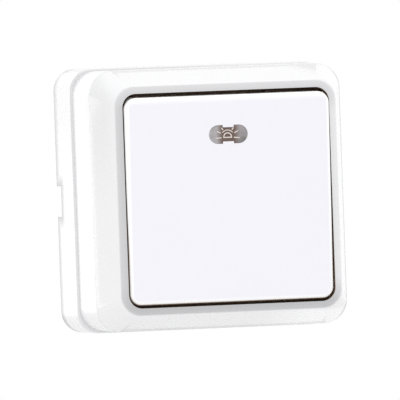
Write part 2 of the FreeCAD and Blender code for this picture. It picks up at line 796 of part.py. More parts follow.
def make_plunger_spring():
    """Coil spring between the closed end of the tube and the plunger."""
    body = new_body("plunger_spring")
    sketch = new_sketch(body, "wire_outline", "XY_Plane")
    draw_circle(sketch, "spring_wire", "spring_radius", "spring_seat + spring_wire + spring_play")
    coil = body.newObject("PartDesign::AdditiveHelix", "coil")
    coil.Profile = sketch
    coil.ReferenceAxis = (sketch, ["V_Axis"])
    coil.Mode = "height-turns-angle"
    bind(coil, "Height", "plunger_top - spring_seat - 2 * spring_wire - 2 * spring_play")
    bind(coil, "Turns", "spring_turns")
    sketch.Visibility = False
    tilt_rocker_part(body)
    return body


# mechanism body, tray and screws


SCREW_PLACES = (("-screw_across", "screw_up"), ("screw_across", "-screw_up"))
CLAMP_PLACES = (("-clamp_across", "common_up"), ("clamp_across", "contact_arm"))
LEAD_HOLES = (("-lead_far", "lead_hole_high"), ("-lead_near", "lead_hole_low"))


def make_mechanism_body():
    """Moulded body: front plate, hollow block, screw columns, ears of the pin and the rocker's rests."""
    body = new_body("mechanism_body")
    sketch = new_sketch(body, "plate_outline", offset="plate_start")
    draw_rounded(sketch, "plate_side", "plate_side", "plate_corner")
    pad(body, sketch, "plate", "plate_thick")
    sketch = new_sketch(body, "block_outline", offset="plate_start")
    draw_rounded(sketch, "block_width", "block_height", "block_corner")
    pad(body, sketch, "block", "block_depth", backwards=True)
    sketch = new_sketch(body, "block_hollow_outline", offset="plate_start")
    draw_rectangle(sketch, "block_width - 2 * block_wall", "block_height - 2 * block_wall")
    pocket(body, sketch, "block_hollow", "block_depth")
    sketch = new_sketch(body, "column_outlines", offset="plate_start")
    for across, up in SCREW_PLACES:
        draw_circle(sketch, "boss_radius", across, up)
    pad(body, sketch, "columns", "block_depth", backwards=True)
    add_pivot_ears(body)
    sketch = new_sketch(body, "rest_outlines", offset="plate_front")
    for across in ("-rest_across", "rest_across"):
        for side in ("-", ""):
            middle = "%s(rocker_height / 2 - rocker_wall / 2)" % side
            draw_rectangle(sketch, "rest_width", "rocker_wall + 2 * rest_margin", across, middle)
    pad(body, sketch, "rocker_rests", "rest_depth - plate_front")
    cut_plate_holes(body)
    return body


def add_pivot_ears(body):
    """Adds the two ears that hold the ends of the pivot pin."""
    length = "(pivot_height + ear_round + plate_thick / 2)"
    sketch = new_sketch(body, "ear_outline", "YZ_Plane")
    draw_rounded(
        sketch, length, "ear_width", "ear_round", "-(pivot_depth + ear_round - %s / 2)" % length
    )
    pad(body, sketch, "ears", "ear_inside + 2 * ear_thick", midplane=True)
    opening = "(pivot_height + ear_round + overcut)"
    sketch = new_sketch(body, "ear_gap_outline", "YZ_Plane")
    draw_rectangle(sketch, opening, "ear_width + overcut", "-(plate_front + %s / 2)" % opening)
    pocket(body, sketch, "ear_gap", "ear_inside", midplane=True)
    sketch = new_sketch(body, "ear_bore_outline", "YZ_Plane")
    draw_circle(sketch, "pin_radius", "-pivot_depth")
    pocket(body, sketch, "ear_bores", "plate_side", midplane=True)


def cut_plate_holes(body):
    """Cuts the plate for the plunger's tube, the screwdriver, the lamp's leads and the screws."""
    sketch = new_sketch(body, "plate_hole_outlines", offset="plate_front")
    draw_rounded(sketch, "tube_window", "tube_window", "block_corner")
    for across, up in CLAMP_PLACES:
        draw_circle(sketch, "screw_head_radius + driver_gap", across, up)
    for across, up in LEAD_HOLES:
        draw_circle(sketch, "lead_radius + lead_hole_gap", across, up)
    pocket(body, sketch, "plate_holes", "plate_thick")
    sketch = new_sketch(body, "screw_hole_outlines", offset="plate_front")
    for across, up in SCREW_PLACES:
        draw_circle(sketch, "screw_radius + screw_hole_gap", across, up)
    pocket(body, sketch, "screw_holes", "plate_thick + block_depth")
    sketch = new_sketch(body, "screw_sink_outlines", offset="plate_front")
    for across, up in SCREW_PLACES:
        draw_circle(sketch, "screw_head_radius + 2 * screw_hole_gap", across, up)
    pocket(body, sketch, "screw_sinks", "screw_sink")


def make_terminal_base():
    """Rear tray with the channel of the contact bar, two terminal chambers and the bar's stop."""
    body = new_body("terminal_base")
    sketch = new_sketch(body, "tray_outline", offset="tray_start")
    draw_rounded(sketch, "block_width", "block_height", "block_corner")
    pad(body, sketch, "tray_block", "tray_depth")
    deep = "tray_depth - tray_floor"
    sketch = new_sketch(body, "channel_outline", offset="tray_end")
    draw_rectangle(sketch, "channel_width", "channel_height")
    pocket(body, sketch, "channel", deep)
    sketch = new_sketch(body, "chamber_outlines", offset="tray_end")
    middle = "(chamber_start + chamber_length / 2)"
    draw_rectangle(sketch, "chamber_length", "chamber_height", "-%s" % middle, "common_up")
    draw_rectangle(sketch, "chamber_length", "chamber_height", middle, "contact_arm")
    pocket(body, sketch, "chambers", deep)
    sketch = new_sketch(body, "strip_slot_outlines", offset="strip_front + strip_play")
    middle = "(channel_width / 4 + chamber_start / 2)"
    length = "(chamber_start - channel_width / 2 + overcut)"
    draw_rectangle(sketch, length, "common_strip + 2 * strip_play", "-%s" % middle, "common_up")
    draw_rectangle(sketch, length, "strip_width + 2 * strip_play", middle, "contact_arm")
    pocket(body, sketch, "strip_slots", "strip_thick + strip_play")
    sketch = new_sketch(body, "clamp_pocket_outlines", offset="tray_inside")
    for across, up in CLAMP_PLACES:
        draw_rectangle(
            sketch, "clamp_length + 2 * clamp_play", "clamp_width + 2 * clamp_play", across, up
        )
    pocket(body, sketch, "clamp_pockets", "clamp_wall")
    add_wire_entry(body, "left_wire_entry", "-block_width / 2", "common_up")
    add_wire_entry(body, "right_wire_entry", "block_width / 2 - chamber_end_wall", "contact_arm")
    sketch = new_sketch(body, "stop_outline", offset="tray_inside")
    middle = "-(bar_arm - stop_inset)"
    draw_rectangle(sketch, "channel_width + root_depth", "stop_thick", "0", middle)
    pad(body, sketch, "stop", "stop_front - tray_inside")
    sketch = new_sketch(body, "tray_screw_outlines", offset="tray_end")
    for across, up in SCREW_PLACES:
        draw_circle(sketch, "screw_radius + screw_hole_gap", across, up)
    pocket(body, sketch, "tray_screw_holes", "tray_depth")
    return body


def add_wire_entry(body, name, start, up):
    """Bores one round wire entry through the end wall of a terminal chamber."""
    sketch = new_sketch(body, name + "_outline", "YZ_Plane", start)
    draw_circle(sketch, "wire_entry_radius", "-(strip_front + wire_entry_radius)", up)
    pocket(body, sketch, name, "chamber_end_wall", forwards=True)


def make_screw(name, across, up, tip, seat):
    """One slotted screw whose shank runs from the tip's depth to the seat of its head."""
    turn = FreeCAD.Rotation(X_AXIS, 90)
    shank = doc.addObject("Part::Cylinder", name + "_shank")
    bind(shank, "Radius", "screw_radius")
    bind(shank, "Height", "(%s) - (%s)" % (seat, tip))
    head = doc.addObject("Part::Cylinder", name + "_head")
    bind(head, "Radius", "screw_head_radius")
    bind(head, "Height", "screw_head")
    for piece, start in ((shank, tip), (head, seat)):
        piece.Placement = FreeCAD.Placement(Vector(0, 0, 0), turn)
        bind(piece, "Placement.Base.x", across)
        bind(piece, "Placement.Base.y", "-(%s)" % start)
        bind(piece, "Placement.Base.z", up)
    whole = doc.addObject("Part::Fuse", name + "_blank")
    whole.Base = shank
    whole.Tool = head
    slot = doc.addObject("Part::Box", name + "_slot")
    bind(slot, "Length", "2 * screw_head_radius + overcut")
    bind(slot, "Width", "screw_slot_deep + overcut")
    bind(slot, "Height", "screw_slot")
    bind(slot, "Placement.Base.x", "(%s) - screw_head_radius - overcut / 2" % across)
    bind(slot, "Placement.Base.y", "-(%s) - screw_head - overcut" % seat)
    bind(slot, "Placement.Base.z", "(%s) - screw_slot / 2" % up)
    screw = doc.addObject("Part::Cut", name)
    screw.Base = whole
    screw.Tool = slot
    return screw


def make_screws(label, places, tip, seat):
    """A group of equal screws."""
    screws = [
        make_screw("%s_%d" % (label, number), across, up, tip, seat)
        for number, (across, up) in enumerate(places, start=1)
    ]
    group = doc.addObject("Part::Compound", label)
    group.Links = screws
    group.Label = label
    return group


def make_clamp(name, across, up):
    """Closed cage that its screw draws up against the terminal strip."""
    body = new_body(name)
    sketch = new_sketch(body, name + "_outline", "YZ_Plane", "%s - clamp_length / 2" % across)
    back = "(tray_inside - clamp_wall)"
    deep = "(tray_end - %s)" % back
    draw_rounded(sketch, deep, "clamp_width", "clamp_corner", "-(tray_end + %s) / 2" % back, up)
    inner = "(%s - clamp_wall - clamp_front)" % deep
    draw_rectangle(sketch, inner, "clamp_width - 2 * clamp_wall", "-(tray_inside + %s / 2)" % inner, up)
    pad(body, sketch, name + "_cage", "clamp_length")
    sketch = new_sketch(body, name + "_thread_outline", offset="tray_end")
    draw_circle(sketch, "screw_radius", across, up)
    pocket(body, sketch, name + "_thread", "clamp_front")
    return body


# contacts


def place_bar_part(body, arm):
    """Turns a part of the contact bar about the fulcrum, its upper end towards the wall."""
    body.Placement = FreeCAD.Placement(Vector(0, 0, 0), FreeCAD.Rotation(Vector(-1, 0, 0), 1))
    bind(body, "Placement.Base.y", "-fulcrum_depth + (%s) * sin(bar_tilt * 1 deg)" % arm)
    bind(body, "Placement.Base.z", "(%s) * cos(bar_tilt * 1 deg)" % arm)
    bind(body, "Placement.Rotation.Angle", "bar_tilt")


def make_contact_bar():
    """Rocking strip with the groove that sits on the fulcrum, and round ends."""
    body = new_body("contact_bar")
    sketch = new_sketch(body, "bar_outline", offset="bar_back")
    draw_rounded(sketch, "bar_width", "2 * bar_arm", "bar_corner")
    pad(body, sketch, "bar_strip", "bar_thick")
    sketch = new_sketch(body, "bar_groove_outline", "YZ_Plane")
    draw_circle(sketch, "fulcrum_radius + fulcrum_gap")
    pocket(body, sketch, "bar_groove", "bar_width + overcut", midplane=True)
    sketch = new_sketch(body, "bar_rivet_hole_outline", offset="bar_back + bar_thick")
    draw_circle(sketch, "contact_shank", "0", "contact_arm")
    pocket(body, sketch, "bar_rivet_hole", "bar_thick")
    place_bar_part(body, "0")
    return body


def make_moving_contact():
    """Silver contact rivet on the upper end of the contact bar, upset at the bar's front."""
    body = new_body("moving_contact")
    sketch = new_sketch(body, "moving_contact_outline", "XY_Plane")
    head = "-bar_back"
    tail = "-bar_back - bar_thick"
    upset = "contact_shank + contact_tail"
    draw_polygon(sketch, [
        ("0", "%s + contact_head" % head),
        ("contact_radius - contact_edge", "%s + contact_head" % head),
        ("contact_radius", "%s + contact_head - contact_edge" % head),
        ("contact_radius", head),
        ("contact_shank", head),
        ("contact_shank", tail),
        (upset, tail),
        ("%s - contact_tail / 2" % upset, "%s - contact_tail" % tail),
        ("0", "%s - contact_tail" % tail),
    ])
    revolve(body, sketch, "moving_contact_turned", "V_Axis")
    place_bar_part(body, "contact_arm")
    return body


def make_fixed_contact():
    """Silver contact rivet on the switched terminal, which the moving contact meets."""
    body = new_body("fixed_contact")
    sketch = new_sketch(body, "fixed_contact_outline", "XY_Plane")
    draw_polygon(sketch, [
        ("0", "-strip_front - fixed_head"),
        ("contact_radius - contact_edge", "-strip_front - fixed_head"),
        ("contact_radius", "-strip_front - fixed_head + contact_edge"),
        ("contact_radius", "-strip_front"),
        ("contact_shank", "-strip_front"),
        ("contact_shank", "-tray_inside"),
        ("0", "-tray_inside"),
    ])
    revolve(body, sketch, "fixed_contact_turned", "V_Axis")
    bind(body, "Placement.Base.z", "contact_arm")
    return body


def make_common_terminal():
    """Brass strip that ends in the raised fulcrum of the contact bar."""
    body = new_body("common_terminal")
    blade = "(bar_width + overcut)"
    sketch = new_sketch(body, "common_strip_outline", offset="tray_inside")
    length = "(strip_end + %s / 2)" % blade
    draw_rectangle(sketch, length, "common_strip", "%s / 2 - %s / 2" % (blade, length), "common_up")
    pad(body, sketch, "common_strip_pad", "strip_thick")
    sketch = new_sketch(body, "fulcrum_outline", "YZ_Plane")
    height = "(fulcrum_depth - tray_inside)"
    draw_rectangle(sketch, height, "2 * fulcrum_radius", "-(tray_inside + %s / 2)" % height)
    pad(body, sketch, "fulcrum_blade", blade, midplane=True)
    sketch = new_sketch(body, "fulcrum_tip_outline", "YZ_Plane")
    draw_circle(sketch, "fulcrum_radius", "-fulcrum_depth")
    pad(body, sketch, "fulcrum_tip", blade, midplane=True)
    return body


def make_switched_terminal():
    """Brass strip from the fixed contact to the clamp on the right."""
    body = new_body("switched_terminal")
    sketch = new_sketch(body, "switched_strip_outline", offset="tray_inside")
    length = "(strip_end + strip_width / 2)"
    draw_rectangle(sketch, length, "strip_width", "strip_end - %s / 2" % length, "contact_arm")
    pad(body, sketch, "switched_strip", "strip_thick")
    sketch = new_sketch(body, "switched_hole_outline", offset="strip_front")
    draw_circle(sketch, "contact_shank", "0", "contact_arm")
    pocket(body, sketch, "switched_hole", "strip_thick")
    return body


# lamp, its holder and its wiring


def make_lamp_holder():
    """Small bracket on the front plate with two round seats for the lamp."""
    body = new_body("lamp_holder")
    width = "(holder_inside + 2 * holder_wall)"
    height = "2 * (lamp_radius + holder_margin)"
    sketch = new_sketch(body, "holder_outline", offset="plate_front")
    draw_rectangle(sketch, width, height, "0", "window_up")
    pad(body, sketch, "holder_block", "lamp_height")
    sketch = new_sketch(body, "holder_gap_outline", offset="lamp_depth")
    draw_rectangle(sketch, "holder_inside", "%s + overcut" % height, "0", "window_up")
    pocket(body, sketch, "holder_gap", "lamp_height - holder_floor")
    sketch = new_sketch(body, "lamp_seat_outline", "YZ_Plane")
    draw_circle(sketch, "lamp_radius", "-lamp_depth", "window_up")
    pocket(body, sketch, "lamp_seats", "%s + overcut" % width, midplane=True)
    return body


def make_neon_lamp():
    """Glass tube of the lamp, closed and rounded at its right-hand end and sealed at the other."""
    body = new_body("neon_lamp")
    left = "-lamp_length / 2"
    right = "lamp_length / 2"
    sketch = new_sketch(body, "lamp_outline", "XY_Plane")
    draw_polygon(sketch, [
        (left, "0"),
        (left, "lamp_radius * 0.75"),
        ("%s + lamp_radius * 0.4" % left, "lamp_radius"),
        ("%s - lamp_radius * 0.8" % right, "lamp_radius"),
        ("%s - lamp_radius * 0.3" % right, "lamp_radius * 0.8"),
        (right, "lamp_radius * 0.3"),
        (right, "0"),
        ("%s - lamp_glass" % right, "0"),
        ("%s - lamp_glass - lamp_radius * 0.3" % right, "lamp_bore * 0.7"),
        ("%s - lamp_glass - lamp_radius * 0.8" % right, "lamp_bore"),
        ("%s + lamp_seal" % left, "lamp_bore"),
        ("%s + lamp_seal" % left, "0"),
    ])
    revolve(body, sketch, "lamp_turned", "H_Axis")
    for name, side in (("high_lead_hole", ""), ("low_lead_hole", "-")):
        sketch = new_sketch(body, name + "_outline", "YZ_Plane", left)
        draw_circle(sketch, "lead_radius", "0", "%slead_spacing / 2" % side)
        pocket(body, sketch, name, "lamp_seal", forwards=True)
    bind(body, "Placement.Base.y", "-lamp_depth")
    bind(body, "Placement.Base.z", "window_up")
    return body


def bent_wire(label, corners):
    """Round wire along straight runs, with an equal bend at each corner between them."""
    points = [Vector(value_of(x), -value_of(depth), value_of(z)) for x, depth, z in corners]
    bend = size("lead_bend")
    pieces = []
    start = points[0]
    for before, corner, after in zip(points, points[1:], points[2:]):
        arriving = (corner - before).normalize()
        leaving = (after - corner).normalize()
        half_turn = arriving.getAngle(leaving) / 2
        cut = bend * math.tan(half_turn)
        enter = corner - arriving * cut
        leave = corner + leaving * cut
        towards_centre = (leaving - arriving).normalize()
        middle = corner + towards_centre * (bend / math.cos(half_turn) - bend)
        pieces.append(Part.LineSegment(start, enter).toShape())
        pieces.append(Part.Arc(enter, middle, leave).toShape())
        start = leave
    pieces.append(Part.LineSegment(start, points[-1]).toShape())
    spine = Part.Wire(pieces)
    first_run = (points[1] - points[0]).normalize()
    section = Part.Wire(Part.Circle(points[0], first_run, size("lead_radius")).toShape())
    wire = doc.addObject("Part::Feature", label)
    wire.Label = label
    wire.Shape = spine.makePipeShell([section], True, False)
    return wire


def make_lamp_wiring():
    """Leads from the lamp to both terminals, one of them through the resistor."""
    (far_across, far_up), (near_across, near_up) = LEAD_HOLES
    inside_lamp = "lead_hold - lamp_length / 2"
    left_end = "-resistor_length / 2"
    right_end = "resistor_length / 2"
    upper = bent_wire("upper_lamp_lead", [
        (inside_lamp, "lamp_depth", "lead_high"),
        (far_across, "lamp_depth", "lead_high"),
        (far_across, "plate_front + lead_gap", far_up),
        (far_across, "lead_run + lead_step", far_up),
        ("-lead_foot", "lead_run + lead_step", "common_up"),
        ("-lead_foot", "strip_front", "common_up"),
    ])
    lower = bent_wire("lower_lamp_lead", [
        (inside_lamp, "lamp_depth", "lead_low"),
        (near_across, "lamp_depth", "lead_low"),
        (near_across, "plate_front + lead_gap", near_up),
        (near_across, "lead_run", near_up),
        ("%s - resistor_lead_run" % left_end, "lead_run", "resistor_up"),
        (left_end, "lead_run", "resistor_up"),
    ])
    after = bent_wire("resistor_lead", [
        (right_end, "lead_run", "resistor_up"),
        ("lead_foot", "lead_run", "resistor_up"),
        ("lead_foot", "lead_run - resistor_up + contact_arm", "contact_arm"),
        ("lead_foot", "strip_front", "contact_arm"),
    ])
    return [upper, lower, after, make_lamp_resistor(left_end, right_end)]


def make_lamp_resistor(left_end, right_end):
    """Resistor of the lamp, thicker over its two end caps."""
    body = new_body("lamp_resistor")
    cap = "resistor_length / 4"
    slope = "resistor_radius / 3"
    waist = "resistor_radius * 0.8"
    sketch = new_sketch(body, "resistor_outline", "XY_Plane")
    draw_polygon(sketch, [
        (left_end, "0"),
        (left_end, "resistor_radius * 0.7"),
        ("%s + %s" % (left_end, slope), "resistor_radius"),
        ("%s + %s" % (left_end, cap), "resistor_radius"),
        ("%s + %s + %s" % (left_end, cap, slope), waist),
        ("%s - %s - %s" % (right_end, cap, slope), waist),
        ("%s - %s" % (right_end, cap), "resistor_radius"),
        ("%s - %s" % (right_end, slope), "resistor_radius"),
        (right_end, "resistor_radius * 0.7"),
        (right_end, "0"),
    ])
    revolve(body, sketch, "resistor_turned", "H_Axis")
    bind(body, "Placement.Base.y", "-lead_run")
    bind(body, "Placement.Base.z", "resistor_up")
    return body


# building, checking and writing


def build_all():
    """Makes every sub-part and gives the list of them."""
    parts = [
        make_base_box(),
        make_cover_frame(),
        make_rocker_cap(),
        make_indicator_lens(),
        make_rocker_cradle(),
        make_pivot_pin(),
        make_plunger(),
        make_plunger_spring(),
        make_mechanism_body(),
        make_terminal_base(),
        make_screws(
            "mechanism_screws", SCREW_PLACES, "base_floor / 2 + screw_tip_gap", "plate_front - screw_sink"
        ),
        make_contact_bar(),
        make_moving_contact(),
        make_common_terminal(),
        make_switched_terminal(),
        make_fixed_contact(),
        make_clamp("common_clamp", *CLAMP_PLACES[0]),
        make_clamp("switched_clamp", *CLAMP_PLACES[1]),
        make_screws(
            "terminal_screws", CLAMP_PLACES, "strip_front + terminal_screw_stop",
            "tray_end + terminal_screw_lift",
        ),
        make_lamp_holder(),
        make_neon_lamp(),
    ]
    parts += make_lamp_wiring()
    return parts


def check_part(part):
    """Stops with a message when a sub-part is not sound."""
    shape = part.Shape
    bad_states = {"Invalid", "Error"} & set(part.State)
    if bad_states or shape.isNull() or not shape.isValid() or not shape.Solids:
        raise RuntimeError("%s is not sound: %s" % (part.Label, part.State))


def main():
    """Builds the object and writes one file for each sub-part."""
    parts = build_all()
    doc.recompute()
    for thing in doc.Objects:
        if {"Invalid", "Error"} & set(thing.State):
            raise RuntimeError("%s has the state %s" % (thing.Name, thing.State))
    os.makedirs("parts", exist_ok=True)
    for part in parts:
        check_part(part)
        part.Shape.exportStep("parts/%s.step" % part.Label)
        box = part.Shape.BoundBox
        print("%-18s %2d solid  volume %9.2f  x %7.2f %7.2f  y %7.2f %7.2f  z %7.2f %7.2f" % (
            part.Label, len(part.Shape.Solids), part.Shape.Volume,
            box.XMin, box.XMax, box.YMin, box.YMax, box.ZMin, box.ZMax,
        ))


main()
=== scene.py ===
import math

import bmesh
import bpy
from mathutils import Matrix, Quaternion, Vector


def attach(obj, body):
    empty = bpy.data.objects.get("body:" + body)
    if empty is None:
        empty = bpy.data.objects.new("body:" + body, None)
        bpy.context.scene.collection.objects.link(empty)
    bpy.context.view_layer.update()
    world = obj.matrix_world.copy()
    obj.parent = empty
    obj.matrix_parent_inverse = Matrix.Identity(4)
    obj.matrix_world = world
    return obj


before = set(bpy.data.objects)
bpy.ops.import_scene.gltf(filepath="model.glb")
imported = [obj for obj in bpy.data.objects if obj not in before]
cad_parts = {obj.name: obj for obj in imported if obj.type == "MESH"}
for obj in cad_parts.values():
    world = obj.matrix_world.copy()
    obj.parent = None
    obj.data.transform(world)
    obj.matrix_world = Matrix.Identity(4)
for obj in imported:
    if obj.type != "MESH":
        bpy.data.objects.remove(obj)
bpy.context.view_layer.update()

# Dressing of the surface mounted light switch. Lengths are in metres; MM turns millimetres into them.
MM = 0.001

# camera, as read from the photograph; a longer lens would lose the switch in the other views
VIEW_AZIMUTH = math.radians(-15.4)
VIEW_ELEVATION = math.radians(1.0)
VIEW_ROLL = math.radians(2.05)
LENS = 1500.0
SENSOR = 36.0
PICTURE_WIDTH = 98.9 * MM
AIM_DEPTH = 30.0 * MM
AIM_ASIDE = -4.104 * MM
AIM_UP = -0.524 * MM
NEAREST_SEEN = 0.1

# Places on the solids, four of them moved by up to 0.1 mm for the shading. Depths are measured from the
# wall; the window's front and height are measured from the rocker's pivot.
BASE_HALF = 32.75 * MM
BASE_CORNER = 5.5 * MM
SEAM_DEPTH = 16.1 * MM
NOTCH_DEEP = 4.0 * MM
NOTCH_REACH = 3.8 * MM
BEVEL_START = 31.3 * MM
RING_INSIDE = 26.45 * MM
RING_OUTSIDE = 28.3 * MM
RING_WIDTH = RING_OUTSIDE - RING_INSIDE
OPENING_CORNER = 3.4 * MM
RING_CREST = 40.75 * MM
RING_FRONT = 41.7 * MM
ROCKER_ASIDE = 26.15 * MM
ROCKER_UP = 25.75 * MM
ROCKER_CORNER = 2.9 * MM
ROCKER_ROUND = 1.1 * MM
ROCKER_TILT = math.radians(2.0)
PIVOT_DEPTH = 35.7 * MM
WINDOW_FRONT = 6.75 * MM
WINDOW_UP = 15.9 * MM


# material nodes


# most of a noise lies between these two values
NOISE_SPAN = (0.3, 0.7)

# sockets of the mix node when it mixes colours
MIX_FIRST = 6
MIX_SECOND = 7
MIX_RESULT = 2


def new_material(name):
    """Starts a material and gives it with its node tree and its shader."""
    material = bpy.data.materials.new(name)
    material.use_nodes = True
    tree = material.node_tree
    return material, tree, tree.nodes["Principled BSDF"]


def set_shader(shader, **values):
    """Sets sockets of the shader by their names, written with underscores for spaces."""
    for name, value in values.items():
        shader.inputs[name.replace("_", " ")].default_value = value


def object_position(tree):
    """The place of a point in the frame that CAD and scene share."""
    return tree.nodes.new("ShaderNodeTexCoord").outputs["Object"]


def stretched(tree, source, scale):
    """Stretches a pattern's coordinates along the axes."""
    mapping = tree.nodes.new("ShaderNodeMapping")
    mapping.inputs["Scale"].default_value = scale
    tree.links.new(source, mapping.inputs["Vector"])
    return mapping.outputs["Vector"]


def noise(tree, source, scale, detail=3.0, roughness=0.5):
    """Cloudy noise of about one patch in 1/scale metres."""
    node = tree.nodes.new("ShaderNodeTexNoise")
    node.inputs["Scale"].default_value = scale
    node.inputs["Detail"].default_value = detail
    node.inputs["Roughness"].default_value = roughness
    tree.links.new(source, node.inputs["Vector"])
    return node.outputs["Fac"]


def calc(tree, operation, first, second=None):
    """One operation on a value, or on two, each a socket or a number."""
    node = tree.nodes.new("ShaderNodeMath")
    node.operation = operation
    for socket, value in zip(node.inputs, (first, second)):
        if value is None:
            continue
        if isinstance(value, (int, float)):
            socket.default_value = value
        else:
            tree.links.new(value, socket)
    return node.outputs[0]


def span(tree, value, low, high, to_low=0.0, to_high=1.0):
    """Maps a value from one range to another and keeps it inside."""
    node = tree.nodes.new("ShaderNodeMapRange")
    tree.links.new(value, node.inputs["Value"])
    for name, number in (("From Min", low), ("From Max", high), ("To Min", to_low), ("To Max", to_high)):
        node.inputs[name].default_value = number
    return node.outputs["Result"]


def between(tree, value, low, high, soft):
    """One inside a band of a value and none outside, with soft edges."""
    rising = span(tree, value, low - soft, low + soft)
    falling = span(tree, value, high - soft, high + soft, 1.0, 0.0)
    return calc(tree, "MULTIPLY", rising, falling)


def blend_colours(tree, factor, first, second):
    """Mixes two colours, each a socket or three numbers."""
    node = tree.nodes.new("ShaderNodeMix")
    node.data_type = "RGBA"
    tree.links.new(factor, node.inputs["Factor"])
    for socket, colour in ((node.inputs[MIX_FIRST], first), (node.inputs[MIX_SECOND], second)):
        if isinstance(colour, tuple):
            socket.default_value = (*colour, 1.0)
        else:
            tree.links.new(colour, socket)
    return node.outputs[MIX_RESULT]


def set_colour(tree, shader, colour):
    """Gives the shader a colour that varies over the surface."""
    tree.links.new(colour, shader.inputs["Base Color"])


def vary_roughness(tree, shader, pattern, smooth, rough):
    """Lets a noise vary the roughness between two values."""
    roughness = span(tree, pattern, *NOISE_SPAN, smooth, rough)
    tree.links.new(roughness, shader.inputs["Roughness"])


def add_bump(tree, shader, height, distance, strength):
    """Raises the surface by a height socket, up to a distance in metres."""
    node = tree.nodes.new("ShaderNodeBump")
    node.inputs["Strength"].default_value = strength
    node.inputs["Distance"].default_value = distance
    tree.links.new(height, node.inputs["Height"])
    tree.links.new(node.outputs["Normal"], shader.inputs["Normal"])


# places on the part


def split_place(tree, place):
    """Splits a place into its distance aside, its depth in front of the wall and its height."""
    axes = tree.nodes.new("ShaderNodeSeparateXYZ")
    tree.links.new(place, axes.inputs[0])
    depth = calc(tree, "MULTIPLY", axes.outputs["Y"], -1.0)
    return axes.outputs["X"], depth, axes.outputs["Z"]


def length(tree, first, second):
    """How long the slant of two distances at right angles is."""
    first_square = calc(tree, "MULTIPLY", first, first)
    second_square = calc(tree, "MULTIPLY", second, second)
    return calc(tree, "SQRT", calc(tree, "ADD", first_square, second_square))


def past_outline(tree, aside, up, half_width, half_height, corner):
    """How far a point lies outside a rounded rectangle; inside, it falls to minus the corner's radius."""
    over_side = calc(tree, "SUBTRACT", calc(tree, "ABSOLUTE", aside), half_width - corner)
    over_end = calc(tree, "SUBTRACT", calc(tree, "ABSOLUTE", up), half_height - corner)
    side = calc(tree, "MAXIMUM", over_side, 0.0)
    end = calc(tree, "MAXIMUM", over_end, 0.0)
    return calc(tree, "SUBTRACT", length(tree, side, end), corner)


# white mouldings


# A pair of lengths says where a shade begins and where it is full, and a pair of strengths how strong it
# is at those two places. A band lies between its two depths.
BASE_WHITE = (0.84, 0.84, 0.85)
COVER_WHITE = (0.83, 0.83, 0.84)
ROCKER_WHITE = (0.826, 0.824, 0.873)
CLOUD_SHADE = 0.985
ROUGHNESS_SPREAD = 0.05

# painted shade along the seam between base and cover
SEAM_PAINTED_SHADE = (0.71, 0.71, 0.72)
SEAM_REACH = 3.0 * MM
SEAM_FALL = 1.5
SEAM_ASIDE = (25.0 * MM, -30.0 * MM)
SEAM_STRENGTH = (0.15, 1.0)

# painted shade on the left wall and left bevel, stronger towards the top
BASE_TOP_LEFT_SHADE = (0.69, 0.69, 0.70)
COVER_TOP_LEFT_SHADE = (0.775, 0.775, 0.785)
TOP_RISE = (-2.0 * MM, 20.0 * MM)
LEFT_WALL = (-28.0 * MM, -30.0 * MM)

# painted shade along the base's rear edge by the wall, and at the foot of the right bevel
OUTLINE_PAINTED_SHADE = (0.38, 0.38, 0.39)
REAR_RIM = (3.8 * MM, 0.3 * MM)
REAR_RIM_OUTSIDE = (-0.6 * MM, -0.2 * MM)
REAR_RIM_ASIDE = (10.0 * MM, -30.0 * MM)
REAR_RIM_STRENGTH = (0.3, 1.0)
# painted shade at the foot of the right bevel
FOOT_BAND = (BEVEL_START - 0.4 * MM, BEVEL_START + 1.2 * MM)
FOOT_SOFT = 0.5 * MM
FOOT_ASIDE = (29.0 * MM, 32.0 * MM)
FOOT_STRENGTH = (0.0, 0.95)

# painted light on the right part of the lower bevel
LOWER_RIGHT_PAINTED_LIGHT = (0.93, 0.93, 0.94)
LOWER_BEVEL = (-28.0 * MM, -29.0 * MM)
LOWER_ASIDE = (8.0 * MM, 22.0 * MM)

# painted shade on the ring round the opening
RING_SHADE_DARK = (0.49, 0.49, 0.50)
RING_SHADE_PALE = (0.74, 0.74, 0.75)

# shares of the pale grey in the ring's painted shade: at its left and right, at its bottom and top, and
# their rise outwards
RING_SIDES = (0.29, 0.96)
RING_ENDS = (0.04, 0.50)
RING_RISE = 0.16

# heights between which the painted shade of the sides turns into that of the ends
RING_TURN = (RING_INSIDE - 6.0 * MM, RING_INSIDE)
RING_LIP = 0.4 * MM
RING_SOFT = 0.3 * MM
CREST_SOFT = 0.15 * MM

# painted dark brown shade on the cover's walls inside the opening
GAP_PAINTED_SHADE = (0.30, 0.20, 0.13)
GAP_EDGE = (0.10 * MM, 0.02 * MM)
GAP_DEPTH = (RING_FRONT - 0.05 * MM, RING_FRONT - 0.25 * MM)

# painted highlight on the rocker's rounded edges and along its top
EDGE_PAINTED_HIGHLIGHT = (0.95, 0.95, 0.95)
ROCKER_EDGE = (-ROCKER_ROUND, -0.5 * ROCKER_ROUND)
ROCKER_TOP = (ROCKER_UP - 2.0 * ROCKER_ROUND, ROCKER_UP - 0.6 * ROCKER_ROUND)
# painted shade on the rocker's skirt in the gap beside the ring
SKIRT_PAINTED_SHADE = (0.26, 0.19, 0.145)
SKIRT_FACE = (-0.25 * MM, -0.12 * MM)
SKIRT_SHADE_BAND = (RING_FRONT - 1.6 * MM, RING_FRONT - 0.1 * MM)
SKIRT_SHADE_SOFT = 0.15 * MM


